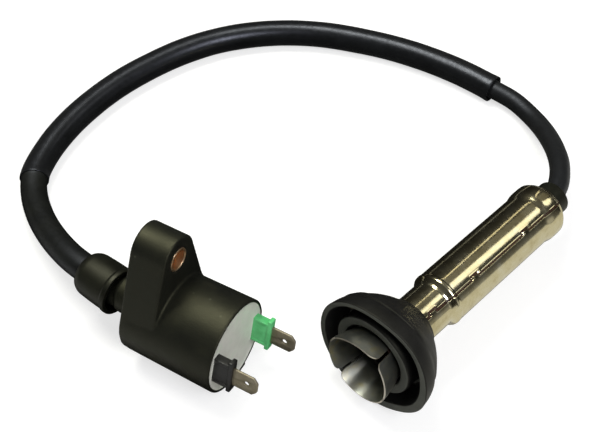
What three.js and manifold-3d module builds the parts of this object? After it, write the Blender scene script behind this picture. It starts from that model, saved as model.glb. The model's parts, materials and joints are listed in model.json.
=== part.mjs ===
// Ignition coil of a small four-stroke scooter engine, with its high-tension lead and shielded plug cap.
// Millimetres, +Z up. The coil lies on the surface z = 0 with its winding axis along X and its terminals
// towards +X. The origin is under the middle of the coil, lead and plug cap apart.
import * as THREE from 'three';
import { mergeVertices } from 'three/addons/utils/BufferGeometryUtils.js';
import Module from 'manifold-3d';

const wasm = await Module();
wasm.setup();

// ---- driving dimensions -------------------------------------------------------------------------

const gap = 0.3;                 // clearance between neighbouring solids
const roundSides = 40;
const smallSides = 20;
const innerSides = 20;          // pieces that stay hidden

const rimX = 21.25;              // plane of the case's open front
const coilRoll = -7.9;           // degrees; the ear leans away from the lead's loop side
const terminalTurn = 8;          // degrees between the ear and the terminals' plane

const coilCase = {
  rimRadius: 15.3, backRadius: 14.85, length: 32.3, wall: 1, backWall: 2, edge: 1.6,
  lugWidth: 9, lugLength: 7.5, lugHeight: 0.4,
};
const axisZ = coilCase.rimRadius + coilCase.lugHeight;
const ear = { height: 25.6, radius: 7.7, thickness: 12 };
const bush = { outer: 3.85, bore: 3.2 };
const tower = { neckRadius: 6.3, neckLength: 8.2, spigotRadius: 5.6, spigotLength: 8.8, bore: 3.95 };
const pinHole = 1.4;
const pin = { radius: 1, tip: 41.2, head: 29.1 };

const potting = { front: 0.5, thickness: 3.6 };
const base = { offset: 11.1, width: 8.4, thickness: 2.6, front: 4.6, back: 4.1 };
const baseLip = { width: 11.2, thickness: 3, length: 1.4 };
const blade = { width: 6.3, thickness: 0.8, tip: 14.2, inner: 4.6, chamfer: 1.3, hole: 0.8, holeBack: 3.6 };

const stack = { side: 7.6, back: 28.8, front: 6.2, sheets: 8, groove: 0.25 };
const bobbinBack = 28.4;
const bobbinFront = 8;
const primary = { bore: 5.9, tube: 6.6, flange: 9.4, windingOuter: 9 };
const secondary = { bore: 9.7, tube: 10.3, flange: 13.2, windingOuter: 12.8, chambers: 5, rib: 0.8 };

const gland = { yaw: -8, pivot: 48.8, length: 14.5, openRadius: 7.9, leadEndRadius: 7.2, bore: 7.1, web: 4 };

const lead = { radius: 3.5, sides: 10, step: 9 };
const lowerTube = { outer: 4.45, inner: 4.02, from: 9.6, to: 73.9 };      // millimetres along the lead
const sleeve = { outer: 5, inner: 4.02, from: 74.2, to: 284.7 };

// The lead's centreline, from its end inside the coil's tower to its end inside the plug cap.
const leadRoute = [
  [-20.3, 0, 15.7], [-27.8, 0.2, 15.7], [-35.3, 1.2, 15.6], [-42.6, 3, 14.7], [-48.8, 5.4, 13.3],
  [-54.4, 8.1, 11.7], [-60.3, 11.4, 9.9], [-66, 15.1, 8.2], [-71.4, 19.2, 6.7], [-76.2, 23.5, 5.6],
  [-80.2, 28.1, 5.2], [-82.9, 32.9, 5.15], [-86, 45, 5.15], [-87.1, 58, 5.15], [-86.3, 71, 5.15],
  [-83.8, 84.5, 5.15], [-79.4, 97.7, 5.15], [-73.4, 110.7, 5.15], [-65.3, 122.7, 5.15], [-55.2, 132.8, 5.15],
  [-43.6, 140.9, 5.15], [-30.7, 147, 5.15], [-16.9, 151, 5.15], [-2.7, 153.7, 5.15], [11.7, 154.7, 5.15],
  [26, 154.1, 5.15], [40.1, 152, 5], [49.4, 150.2, 4.7], [58.6, 145.3, 5], [64.8, 139.5, 6.9],
  [70, 132.6, 9.7], [74.2, 125.6, 12.6], [77.6, 118.7, 15.1], [80, 112.2, 16.6], [81.3, 106.6, 17.3],
  [81.45, 101.6, 17.6], [80.7, 96.8, 17.8], [79.5, 92.2, 17.95], [78.4, 87.8, 18.1],
];

// The plug cap's own axis runs from its lead end to its open end, +X in its group.
const capMouth = { x: 59.3, y: 13.3, z: 20.3, azimuth: -104.4, rise: 1.6 };
const shield = {
  sheet: 0.6, body: 9, neck: 7.7, rearFlare: 9.25, rearEnd: -85, shoulder: -30.5, neckStart: -28.5,
  flareStart: -5, petalEnd: 5.2, petalRadius: 11.2, opening: 6.4, slit: 1, slitAngles: [58, 146, 238, 330],
};
const insulator = { body: 8.1, neck: 6.7, front: -9, rear: -82, mouthBore: 5.4, leadBore: 3.95 };
const contactX = -44;            // floor of the insulator's mouth
const grommet = { flange: 5.8, flangeFront: -85.3, flangeBack: -91, spigot: 6.1, spigotFront: -82.3, bore: 4.3 };

// ---- materials ----------------------------------------------------------------------------------

function finish(color, roughness, metalness = 0) {
  return new THREE.MeshStandardMaterial({ color, roughness, metalness });
}
const blackPlastic = finish(0x23231f, 0.5);
const blackRubber = finish(0x1d1d1b, 0.7);
const blackVinyl = finish(0x1b1b19, 0.45);
const epoxy = finish(0xc4c5bd, 0.4);
const greenPlastic = finish(0x58b070, 0.4);
const tinPlate = finish(0xa39b86, 0.35, 1);
const bronze = finish(0xa9734d, 0.4, 1);
const brass = finish(0xc2a15a, 0.35, 1);
const platedSteel = finish(0xcfc79a, 0.2, 1);
const springSteel = finish(0x8d8d8a, 0.35, 1);
const electricalSteel = finish(0x5a5c60, 0.5, 1);
const copperWire = finish(0xb0622f, 0.4, 1);
const nylon = finish(0xd9d2bd, 0.6);
const phenolic = finish(0x3a2118, 0.5);
const ceramic = finish(0xe4dfd2, 0.5);

// ---- shape helpers ------------------------------------------------------------------------------

// Closed mesh geometry to a solid: shared corners merged, slivers dropped, faces turned outwards.
function solid(geometry) {
  const bare = geometry.clone();
  for (const name of Object.keys(bare.attributes)) {
    if (name !== 'position') bare.deleteAttribute(name);
  }
  const merged = mergeVertices(bare, 1e-4);
  const at = merged.attributes.position;
  const corners = [new THREE.Vector3(), new THREE.Vector3(), new THREE.Vector3()];
  const kept = [];
  let volume = 0;
  for (let i = 0; i < merged.index.count; i += 3) {
    const ids = [0, 1, 2].map((k) => merged.index.getX(i + k));
    if (new Set(ids).size < 3) continue;
    ids.forEach((id, k) => corners[k].fromBufferAttribute(at, id));
    volume += corners[0].dot(corners[1].clone().cross(corners[2]));
    kept.push(...ids);
  }
  if (volume < 0) {
    for (let i = 0; i < kept.length; i += 3) [kept[i], kept[i + 1]] = [kept[i + 1], kept[i]];
  }
  return new wasm.Manifold(new wasm.Mesh({
    numProp: 3, vertProperties: new Float32Array(at.array), triVerts: new Uint32Array(kept),
  }));
}

function toGeometry(body) {
  const result = body.getMesh();
  const geometry = new THREE.BufferGeometry();
  geometry.setAttribute('position', new THREE.BufferAttribute(new Float32Array(result.vertProperties), 3));
  geometry.setIndex(new THREE.BufferAttribute(new Uint32Array(result.triVerts), 1));
  geometry.computeVertexNormals();
  return geometry;
}

function piece(parent, name, body, material) {
  const mesh = new THREE.Mesh(toGeometry(body), material);
  mesh.name = name;
  parent.add(mesh);
  return mesh;
}

// A solid of revolution about X. The profile is [x, radius] pairs that start and end on the axis.
function turned(profile, sides = roundSides) {
  const points = profile.map(([x, radius]) => new THREE.Vector2(radius, x));
  return solid(new THREE.LatheGeometry(points, sides).rotateZ(-Math.PI / 2));
}

// A ring about X, whose [x, radius] outline closes on itself.
function ring(outline, sides = roundSides) {
  return turned([...outline, outline[0]], sides);
}

function tube(back, front, inner, outer, sides = roundSides) {
  return ring([[back, inner], [back, outer], [front, outer], [front, inner]], sides);
}

function rod(back, front, radius, sides = roundSides) {
  return turned([[back, 0], [back, radius], [front, radius], [front, 0]], sides);
}

function block(x0, x1, y0, y1, z0, z1) {
  const geometry = new THREE.BoxGeometry(x1 - x0, y1 - y0, z1 - z0);
  return solid(geometry.translate((x0 + x1) / 2, (y0 + y1) / 2, (z0 + z1) / 2));
}

// An outline in the Y-Z plane, drawn with Z to the right and Y up, pushed along X from back to front.
function slab(shape, back, front, curveSegments = 12) {
  const geometry = new THREE.ExtrudeGeometry(shape, { depth: front - back, bevelEnabled: false, curveSegments });
  geometry.applyMatrix4(new THREE.Matrix4().makeBasis(
    new THREE.Vector3(0, 0, 1), new THREE.Vector3(0, 1, 0), new THREE.Vector3(1, 0, 0)));
  return solid(geometry.translate(back, 0, 0));
}

function degrees(angle) {
  return THREE.MathUtils.degToRad(angle);
}

function turnAboutX(body, angle) {
  return body.rotate([angle, 0, 0]);
}

// A part of a curve between two shares of its length.
class Stretch extends THREE.Curve {
  constructor(route, from, to) {
    super();
    this.route = route;
    this.from = from;
    this.to = to;
  }

  getPoint(t, target = new THREE.Vector3()) {
    return target.copy(this.route.getPointAt(Math.min(this.from + (this.to - this.from) * t, 1)));
  }
}

function circleShape(radius, sides, hole = 0) {
  const at = (r, i) => new THREE.Vector2(r * Math.cos(2 * Math.PI * i / sides), r * Math.sin(2 * Math.PI * i / sides));
  const shape = new THREE.Shape(Array.from({ length: sides }, (_, i) => at(radius, i)));
  if (hole > 0) shape.holes.push(new THREE.Path(Array.from({ length: sides }, (_, i) => at(hole, i))));
  return shape;
}

function swept(curve, shape, steps) {
  return solid(new THREE.ExtrudeGeometry(shape, { extrudePath: curve, steps, bevelEnabled: false }));
}

function wire(points, radius, steps = 10, sides = 8) {
  const curve = new THREE.CatmullRomCurve3(points.map((p) => new THREE.Vector3(...p)));
  return swept(curve, circleShape(radius, sides), steps);
}

// ---- coil: case, ear and tower ------------------------------------------------------------------

// Teardrop of the ear: round at the bolt, running down its tangents on to the case.
function earShape() {
  const drop = coilCase.backRadius - 0.1;
  const lean = Math.asin((drop - ear.radius) / ear.height);
  const shape = new THREE.Shape();
  shape.absarc(0, 0, drop, Math.PI / 2 - lean, -Math.PI / 2 + lean, false);
  shape.absarc(ear.height, 0, ear.radius, -Math.PI / 2 + lean, Math.PI / 2 - lean, false);
  return shape;
}

function caseBody() {
  const { rimRadius, backRadius, length, wall, backWall, edge } = coilCase;
  const back = -length;
  const outside = turned([
    [back, 0], [back, backRadius - edge], [back + edge * 0.3, backRadius - edge * 0.3], [back + edge, backRadius],
    [0, rimRadius], [0, 0],
  ], 48);
  const earPlate = slab(earShape(), back, back + ear.thickness, 16);
  const towerStart = back - tower.neckLength;
  const towerEnd = towerStart - tower.spigotLength;
  const outlet = turned([
    [towerEnd, 0], [towerEnd, tower.spigotRadius - 0.6], [towerEnd + 0.6, tower.spigotRadius],
    [towerStart, tower.spigotRadius], [towerStart, tower.neckRadius], [back + 1, tower.neckRadius + 0.4],
    [back + 1, 0],
  ], 30);
  const lug = block(-coilCase.lugLength, 0, -coilCase.lugWidth / 2, coilCase.lugWidth / 2, -axisZ, -10);
  const cavity = turned([
    [back + backWall, 0], [back + backWall, backRadius - wall - 0.6], [0.5, rimRadius - wall], [0.5, 0],
  ], 48);
  const leadBore = rod(towerEnd - 1, back - 1.8, tower.bore, smallSides);
  const pinBore = rod(back - 2.5, back + backWall + 1, pinHole, smallSides);
  const bolt = rod(back - 1, back + ear.thickness + 1, bush.outer + gap, 28);
  return outside.add(earPlate).add(outlet).add(turnAboutX(lug, -coilRoll)).subtract(cavity)
    .subtract(leadBore).subtract(pinBore).subtract(bolt.translate([0, 0, ear.height]));
}

function bushBody() {
  const back = -coilCase.length;
  return tube(back, back + ear.thickness, bush.bore, bush.outer, 28).translate([0, 0, ear.height]);
}

// ---- coil: terminals and potting ----------------------------------------------------------------

// Each terminal is drawn standing on the +Y side, its blade in the plane of X and Z.
function baseBody() {
  const body = block(-base.back, base.front, -base.thickness / 2, base.thickness / 2, -base.width / 2, base.width / 2);
  const lip = block(base.front, base.front + baseLip.length, -baseLip.thickness / 2, baseLip.thickness / 2,
    -baseLip.width / 2, baseLip.width / 2);
  const half = blade.thickness / 2 + gap;
  const slot = block(-base.back - 1, base.front + baseLip.length + 1, -half, half,
    -blade.width / 2 - gap, blade.width / 2 + gap);
  return body.add(lip).subtract(slot);
}

function bladeBody() {
  const { width, thickness, tip, inner, chamfer, hole, holeBack } = blade;
  const outline = new THREE.Shape([
    new THREE.Vector2(-inner, -width / 2), new THREE.Vector2(tip - chamfer, -width / 2),
    new THREE.Vector2(tip, -width / 2 + chamfer), new THREE.Vector2(tip, width / 2 - chamfer),
    new THREE.Vector2(tip - chamfer, width / 2), new THREE.Vector2(-inner, width / 2),
  ]);
  const drilled = new THREE.Path();
  drilled.absarc(tip - holeBack, 0, hole, 0, 2 * Math.PI, true);
  outline.holes.push(drilled);
  const geometry = new THREE.ExtrudeGeometry(outline, { depth: thickness, bevelEnabled: false, curveSegments: 8 });
  return solid(geometry.translate(0, 0, -thickness / 2).rotateX(Math.PI / 2));
}

function pottingBody() {
  const back = -potting.front - potting.thickness;
  const radius = coilCase.rimRadius - coilCase.wall - gap - 0.1;
  let disc = turned([[back, 0], [back, radius - 0.1], [-potting.front, radius], [-potting.front, 0]], 48);
  for (const side of [-1, 1]) {
    const y = side * base.offset;
    const half = base.thickness / 2 + gap;
    const slot = block(back - 1, 1, y - half, y + half, -base.width / 2 - gap, base.width / 2 + gap);
    disc = disc.subtract(turnAboutX(slot, -terminalTurn));
  }
  return disc;
}

// ---- coil: core and windings --------------------------------------------------------------------

function stackBody() {
  const half = stack.side / 2;
  const pitch = stack.side / stack.sheets;
  let body = block(-stack.back, -stack.front, -half, half, -half, half);
  for (let i = 1; i < stack.sheets; i += 1) {
    const y = -half + i * pitch;
    for (const side of [-1, 1]) {
      const groove = block(-stack.back - 1, -stack.front + 1, y - 0.06, y + 0.06,
        side * half - stack.groove, side * half + stack.groove);
      body = body.subtract(groove);
    }
  }
  return body;
}

function primaryBobbinBody() {
  const rib = 0.8;
  return ring([
    [-bobbinBack, primary.bore], [-bobbinBack, primary.flange], [-bobbinBack + rib, primary.flange],
    [-bobbinBack + rib, primary.tube], [-bobbinFront - rib, primary.tube], [-bobbinFront - rib, primary.flange],
    [-bobbinFront, primary.flange], [-bobbinFront, primary.bore],
  ], innerSides);
}

function primaryWindingBody() {
  const rib = 0.8;
  return tube(-bobbinBack + rib + gap, -bobbinFront - rib - gap, primary.tube + gap, primary.windingOuter, innerSides);
}

const chamberPitch = (bobbinBack - bobbinFront - secondary.rib) / secondary.chambers;
const crossoverWidth = 1.2;

function secondaryBobbinBody() {
  let body = tube(-bobbinBack, -bobbinFront, secondary.bore, secondary.tube, innerSides);
  for (let i = 0; i <= secondary.chambers; i += 1) {
    const x = -bobbinBack + i * chamberPitch;
    body = body.add(tube(x, x + secondary.rib, secondary.tube - 0.2, secondary.flange, innerSides));
  }
  const half = crossoverWidth / 2 + gap;
  const slot = block(-bobbinBack + secondary.rib, -bobbinFront - secondary.rib, -half, half,
    secondary.tube + 0.1, secondary.flange + 1);
  return body.subtract(slot);
}

function secondaryWindingBody() {
  const inner = secondary.tube + gap + 0.2;
  const start = -bobbinBack + secondary.rib + gap;
  const end = -bobbinFront - secondary.rib - gap;
  let body = block(start, end, -crossoverWidth / 2, crossoverWidth / 2, inner + 0.3, secondary.windingOuter - 0.4);
  for (let i = 0; i < secondary.chambers; i += 1) {
    const back = -bobbinBack + i * chamberPitch + secondary.rib + gap;
    body = body.add(tube(back, back + chamberPitch - secondary.rib - 2 * gap, inner, secondary.windingOuter, innerSides));
  }
  return body;
}

function pinBody() {
  return turned([
    [-pin.tip, 0], [-pin.tip + 2.4, pin.radius], [-pin.head, pin.radius], [-pin.head, 0],
  ], 16);
}

// ---- gland cap and lead -------------------------------------------------------------------------

function glandBody() {
  const { length, openRadius, leadEndRadius, bore, web } = gland;
  const half = length / 2;
  const leadHole = lowerTube.outer + gap + 0.05;
  return ring([
    [half, bore], [half, openRadius - 0.3], [half - 0.3, openRadius], [half - 3, openRadius],
    [-half + 2.6, leadEndRadius + 0.25], [-half + 1.2, leadEndRadius - 0.35], [-half + 0.35, leadEndRadius - 1.2],
    [-half, leadEndRadius - 2], [-half, leadHole], [-half + web, leadHole], [-half + web, bore],
  ], 30);
}

function leadCurve() {
  return new THREE.CatmullRomCurve3(leadRoute.map((p) => new THREE.Vector3(...p)), false, 'centripetal');
}

function leadStretch(route, from, to, shape) {
  const length = route.getLength();
  return swept(new Stretch(route, from / length, to / length), shape, Math.round((to - from) / lead.step));
}

// ---- plug cap -----------------------------------------------------------------------------------

function shieldBody() {
  const s = shield;
  const wall = s.sheet;
  let body = ring([
    [s.rearEnd, s.opening], [s.rearEnd, s.rearFlare - 2], [s.rearEnd + 0.8, s.rearFlare - 0.7],
    [s.rearEnd + 2.6, s.rearFlare], [s.rearEnd + 8, s.rearFlare], [s.rearEnd + 12, s.body], [s.shoulder, s.body],
    [s.shoulder + 0.8, s.body - 0.35], [s.neckStart, s.neck], [s.flareStart, s.neck],
    [s.flareStart + 3, s.neck + 0.8], [s.petalEnd, s.petalRadius],
    [s.petalEnd, s.petalRadius - wall], [s.flareStart + 3, s.neck + 0.8 - wall],
    [s.flareStart, s.neck - wall], [s.neckStart - 0.3, s.neck - wall], [s.shoulder + 0.5, s.body - wall - 0.3],
    [s.shoulder, s.body - wall], [s.rearEnd + 12, s.body - wall], [s.rearEnd + 8, s.rearFlare - wall],
    [s.rearEnd + 2.8, s.rearFlare - wall], [s.rearEnd + wall + 0.6, s.rearFlare - 1.2], [s.rearEnd + wall, s.opening],
  ]);
  for (const angle of s.slitAngles) {
    const cut = block(s.flareStart, s.petalEnd + 1, 4, s.petalRadius + 2, -s.slit / 2, s.slit / 2);
    body = body.subtract(turnAboutX(cut, angle));
  }
  return body;
}

function bootBody() {
  return ring([
    [-18.5, 8.05], [-18.5, 8.7], [-17, 9.8], [-15, 12.3], [-12, 15.2], [-8, 17.9], [-4, 19.5], [-0.6, 20.2],
    [0, 19.9], [0.3, 19], [0, 17.8], [-0.6, 17.4], [-4, 16.4], [-7, 14.9], [-7.6, 14.2], [-7, 13.4],
    [-1.4, 13.8], [-0.9, 13.3], [-0.9, 10.2], [-1.2, 9.75], [-5.2, 8.05],
  ]);
}

function insulatorBody() {
  const { body, neck, front, rear, mouthBore, leadBore } = insulator;
  return ring([
    [rear, leadBore], [rear, body - 0.8], [rear + 0.8, body], [shield.shoulder - 0.6, body],
    [shield.shoulder - 0.2, neck], [front - 0.5, neck], [front, neck - 0.5], [front, mouthBore],
    [contactX, mouthBore], [contactX, 3.6], [-52, 3.6], [-52, 3.1], [-68, 3.1], [-68, leadBore],
  ], innerSides + 4);
}

function socketBody() {
  return turned([
    [-50, 0], [-50, 2.9], [-49.6, 3.3], [contactX + gap, 3.3], [contactX + gap, 5], [-40, 5], [-39.7, 4.1],
    [-38.3, 4.1], [-38, 5], [-36.4, 5], [-36, 4.6], [-36, 3.3], [-42.5, 3.3], [-43.5, 0],
  ], innerSides);
}

// Open wire ring that snaps over the plug's terminal nut.
function clipBody() {
  const points = Array.from({ length: 17 }, (_, i) => {
    const angle = degrees(30 + i * 300 / 16);
    return [-39, 4.72 * Math.cos(angle), 4.72 * Math.sin(angle)];
  });
  return wire(points, 0.32, 16, 6);
}

function springBody() {
  const turns = 5;
  const perTurn = 10;
  const points = Array.from({ length: turns * perTurn + 1 }, (_, i) => {
    const angle = 2 * Math.PI * i / perTurn;
    return [-50.75 - 5 * i / (turns * perTurn), 2.1 * Math.cos(angle), 2.1 * Math.sin(angle)];
  });
  return wire(points, 0.32, turns * perTurn, 6);
}

function resistorCap(back, front, opening) {
  const floor = opening > 0 ? front - 0.5 : back + 0.5;
  const [closed, open] = opening > 0 ? [front, back] : [back, front];
  return turned([[closed, 0], [closed, 2.75], [open, 2.75], [open, 2.45], [floor, 2.45], [floor, 0]], smallSides);
}

function leadScrewBody() {
  let body = turned([
    [-66.5, 0], [-66.5, 2.8], [-67.4, 2.8], [-67.4, 1.1], [-73.6, 1.1], [-75.9, 0],
  ], 14);
  const turns = 3;
  for (let i = 0; i < turns * 2; i += 1) {
    const x = -68.4 - i;
    body = body.add(ring([[x + 0.35, 0.9], [x, 1.65], [x - 0.35, 0.9]], 14));
  }
  return body;
}

function grommetBody() {
  const { flange, flangeFront, flangeBack, spigot, spigotFront, bore } = grommet;
  return ring([
    [flangeBack, bore], [flangeBack, flange - 0.7], [flangeBack + 0.7, flange], [flangeFront - 0.4, flange],
    [flangeFront, flange - 0.4], [spigotFront, spigot - 0.4], [spigotFront, bore],
  ], 28);
}

// ---- assembly -----------------------------------------------------------------------------------

const ignitionCoil = new THREE.Group();

const coil = new THREE.Group();
coil.position.set(rimX, 0, axisZ);
coil.rotation.x = degrees(coilRoll);
ignitionCoil.add(coil);

piece(coil, 'coil_case', caseBody(), blackPlastic);
piece(coil, 'mounting_bush', bushBody(), bronze);
piece(coil, 'potting', pottingBody(), epoxy);
piece(coil, 'laminated_core', stackBody(), electricalSteel);
piece(coil, 'primary_bobbin', primaryBobbinBody(), nylon);
piece(coil, 'primary_winding', primaryWindingBody(), copperWire);
piece(coil, 'secondary_bobbin', secondaryBobbinBody(), nylon);
piece(coil, 'secondary_winding', secondaryWindingBody(), copperWire);
piece(coil, 'outlet_pin', pinBody(), brass);
piece(coil, 'secondary_tail', wire([
  [-29.4, 0, 12.6], [-29.45, 0, 8], [-29.45, 0, 4], [-29.4, 0, 1.4],
], 0.35, 4), copperWire);

const terminals = new THREE.Group();
terminals.rotation.x = -degrees(terminalTurn);
coil.add(terminals);
for (const [side, colour, plastic] of [[-1, 'black', blackPlastic], [1, 'green', greenPlastic]]) {
  const terminal = new THREE.Group();
  terminal.position.y = side * base.offset;
  terminals.add(terminal);
  piece(terminal, `${colour}_terminal_base`, baseBody(), plastic);
  piece(terminal, `${colour}_side_blade`, bladeBody(), tinPlate);
  const inwards = -side;
  piece(terminal, `${colour}_side_tail`, wire([
    [-blade.inner - gap - 0.4, inwards * 0.2, 0], [-6, inwards * 1.2, 0], [-6.9, inwards * 2.4, 0],
    [-bobbinFront + gap + 0.35, inwards * 3.6, 0],
  ], 0.4, 6), copperWire);
}

const glandGroup = new THREE.Group();
glandGroup.position.set(rimX - gland.pivot, 0, axisZ);
glandGroup.rotation.z = degrees(gland.yaw);
ignitionCoil.add(glandGroup);
piece(glandGroup, 'gland_cap', glandBody(), blackRubber);

const route = leadCurve();
piece(ignitionCoil, 'ht_lead', leadStretch(route, 0, route.getLength(), circleShape(lead.radius, lead.sides)),
  blackRubber);
piece(ignitionCoil, 'lower_lead_tube', leadStretch(route, lowerTube.from, lowerTube.to,
  circleShape(lowerTube.outer, lead.sides, lowerTube.inner)), blackRubber);
piece(ignitionCoil, 'lead_sleeve', leadStretch(route, sleeve.from, sleeve.to,
  circleShape(sleeve.outer, lead.sides, sleeve.inner)), blackVinyl);

const cap = new THREE.Group();
cap.position.set(capMouth.x, capMouth.y, capMouth.z);
cap.rotation.order = 'ZYX';
cap.rotation.set(0, -degrees(capMouth.rise), degrees(capMouth.azimuth));
ignitionCoil.add(cap);
piece(cap, 'cap_shield', shieldBody(), platedSteel);
piece(cap, 'boot_seal', bootBody(), blackRubber);
piece(cap, 'cap_insulator', insulatorBody(), phenolic);
piece(cap, 'plug_socket', socketBody(), brass);
piece(cap, 'socket_clip', clipBody(), springSteel);
piece(cap, 'contact_spring', springBody(), springSteel);
piece(cap, 'resistor_front_cap', resistorCap(-58.6, -56.5, 1), brass);
piece(cap, 'resistor_rod', rod(-65.2, -57.3, 2.15, smallSides), ceramic);
piece(cap, 'resistor_rear_cap', resistorCap(-66, -63.9, -1), brass);
piece(cap, 'lead_screw', leadScrewBody(), brass);
piece(cap, 'rear_grommet', grommetBody(), blackRubber);

export default ignitionCoil;
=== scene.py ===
# Ignition coil of a small four-stroke scooter engine: coil, sleeved high-tension lead and shielded
# plug cap. Sizes in the dictionaries are millimetres and degrees, and meshes are made in metres, in
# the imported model's frame.
import json
import math

import bmesh
import bpy
from mathutils import Matrix, Vector, noise
from mathutils.geometry import tessellate_polygon


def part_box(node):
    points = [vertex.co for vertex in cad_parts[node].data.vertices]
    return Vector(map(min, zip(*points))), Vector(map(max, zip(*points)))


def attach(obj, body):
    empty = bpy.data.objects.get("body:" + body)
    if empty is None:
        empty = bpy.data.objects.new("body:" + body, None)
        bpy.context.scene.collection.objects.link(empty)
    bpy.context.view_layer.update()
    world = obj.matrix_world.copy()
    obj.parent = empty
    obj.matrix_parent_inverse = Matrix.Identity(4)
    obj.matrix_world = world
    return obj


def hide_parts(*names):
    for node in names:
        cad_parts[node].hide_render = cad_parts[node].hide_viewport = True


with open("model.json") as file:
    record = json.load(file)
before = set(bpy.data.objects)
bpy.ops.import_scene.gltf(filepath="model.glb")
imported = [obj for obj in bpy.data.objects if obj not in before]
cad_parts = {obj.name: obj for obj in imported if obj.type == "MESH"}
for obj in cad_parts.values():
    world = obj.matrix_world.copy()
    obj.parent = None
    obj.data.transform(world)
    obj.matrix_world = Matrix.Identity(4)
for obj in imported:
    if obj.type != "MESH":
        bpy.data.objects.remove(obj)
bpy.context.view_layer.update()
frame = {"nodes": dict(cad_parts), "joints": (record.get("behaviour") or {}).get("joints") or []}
mm = 0.001

# ---- places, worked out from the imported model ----

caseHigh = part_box("coil_case")[1]
pottingLow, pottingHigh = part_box("potting")
bushLow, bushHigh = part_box("mounting_bush")
capJoint = next(joint for joint in frame["joints"] if joint["name"] == "cap_unscrew")

rimX = caseHigh.x / mm
axisZ = (pottingLow.z + pottingHigh.z) / 2 / mm
bushMiddle = (bushLow + bushHigh) / 2 / mm
coilRoll = math.atan2(-bushMiddle.y, bushMiddle.z - axisZ)
terminalTurn = math.radians(-8)  # the blades' plane against the ear's
glandBack = 48.8  # from the rim to the gland's middle
glandTurn = math.radians(-8)  # the lead leaves the tower a little aside
earHeight = math.hypot(bushMiddle.y, bushMiddle.z - axisZ)

coilPlace = Matrix.Translation((rimX, 0, axisZ)) @ Matrix.Rotation(coilRoll, 4, "X")
terminalPlace = coilPlace @ Matrix.Rotation(terminalTurn, 4, "X")
glandPlace = Matrix.Translation((rimX - glandBack, 0, axisZ)) @ Matrix.Rotation(glandTurn, 4, "Z")
capAxis = Vector(capJoint["axis"])
capPlace = (
    Matrix.Translation(Vector(capJoint["pos_m"]) / mm)
    @ Matrix.Rotation(math.atan2(capAxis.y, capAxis.x), 4, "Z")
    @ Matrix.Rotation(-math.asin(capAxis.z), 4, "Y")
)


# ---- shape helpers ----

def newPiece(name, points, faces, place, sharp=32):
    # points in millimetres in the piece's own frame
    mesh = bpy.data.meshes.new(name)
    mesh.from_pydata([place @ Vector(point) * mm for point in points], [], faces)
    return finishedMesh(name, mesh, sharp)


def finishedMesh(name, mesh, sharp=32):
    loose = bmesh.new()
    loose.from_mesh(mesh)
    bmesh.ops.remove_doubles(loose, verts=loose.verts, dist=0.002 * mm)
    bmesh.ops.recalc_face_normals(loose, faces=loose.faces)
    loose.to_mesh(mesh)
    loose.free()
    mesh.shade_smooth()
    mesh.set_sharp_from_angle(angle=math.radians(sharp))
    piece = bpy.data.objects.new(name, mesh)
    bpy.context.scene.collection.objects.link(piece)
    return piece


def rounded(outline, closed=False, steps=5):
    # each corner is (x, radius) or (x, radius, rounding), and the rounding is how far back the curve starts
    points = []
    for index, corner in enumerate(outline):
        here = Vector(corner[:2])
        if len(corner) < 3 or not (closed or 0 < index < len(outline) - 1):
            points.append(here)
            continue
        before = Vector(outline[index - 1][:2]) - here
        after = Vector(outline[(index + 1) % len(outline)][:2]) - here
        reach = min(corner[2], 0.48 * before.length, 0.48 * after.length)
        start = here + before.normalized() * reach
        end = here + after.normalized() * reach
        for step in range(steps + 1):
            t = step / steps
            points.append(start * (1 - t) ** 2 + here * 2 * t * (1 - t) + end * t * t)
    return points


def turned(name, outline, place, closed=False, around=128, steps=5, shape=None):
    # a surface of revolution about the local X axis; shape may move each point (x, radius, angle)
    profile = rounded(outline, closed, steps)
    points = []
    for x, radius in profile:
        for side in range(around):
            angle = 2 * math.pi * side / around
            px, pr = shape(x, radius, angle) if shape else (x, radius)
            points.append((px, pr * math.cos(angle), pr * math.sin(angle)))
    rows = len(profile)
    faces = []
    for row in range(rows if closed else rows - 1):
        below = row * around
        above = ((row + 1) % rows) * around
        for side in range(around):
            following = (side + 1) % around
            faces.append((below + side, below + following, above + following, above + side))
    return newPiece(name, points, faces, place)


def plate(name, outlines, low, high, place, axis="X"):
    # flat outlines (the first is the outer one, the rest are holes) given a thickness along the axis
    count = sum(len(outline) for outline in outlines)
    order = {
        "X": lambda a, b, c: (c, a, b), "Y": lambda a, b, c: (a, c, b), "Z": lambda a, b, c: (a, b, c),
    }[axis]
    points = [order(a, b, level) for level in (low, high) for outline in outlines for a, b in outline]
    flat = tessellate_polygon([[Vector((a, b, 0)) for a, b in outline] for outline in outlines])
    faces = [tuple(face) for face in flat] + [tuple(index + count for index in face) for face in flat]
    start = 0
    for outline in outlines:
        size = len(outline)
        for index in range(size):
            following = (index + 1) % size
            near, far = start + index, start + following
            faces.append((near, far, far + count, near + count))
        start += size
    return newPiece(name, points, faces, place)


def circle(radius, centre=(0, 0), around=64):
    turn = [2 * math.pi * side / around for side in range(around)]
    return [(centre[0] + radius * math.cos(angle), centre[1] + radius * math.sin(angle)) for angle in turn]


def blockPiece(name, low, high, place, edge):
    across, along, up = zip(low, high)
    corners = [(x, y, z) for x in across for y in along for z in up]
    faces = [(0, 1, 3, 2), (4, 6, 7, 5), (0, 4, 5, 1), (2, 3, 7, 6), (0, 2, 6, 4), (1, 5, 7, 3)]
    return bevelled(newPiece(name, corners, faces, place), edge)


def bevelled(piece, width, segments=3, angle=30):
    bevel = piece.modifiers.new("edge", "BEVEL")
    bevel.width = width * mm
    bevel.segments = segments
    bevel.limit_method = "ANGLE"
    bevel.angle_limit = math.radians(angle)
    return baked(piece, sharp=50)


def baked(piece, sharp=32):
    graph = bpy.context.evaluated_depsgraph_get()
    mesh = bpy.data.meshes.new_from_object(piece.evaluated_get(graph))
    name = piece.name
    bpy.data.objects.remove(piece)
    return finishedMesh(name, mesh, sharp)


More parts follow.
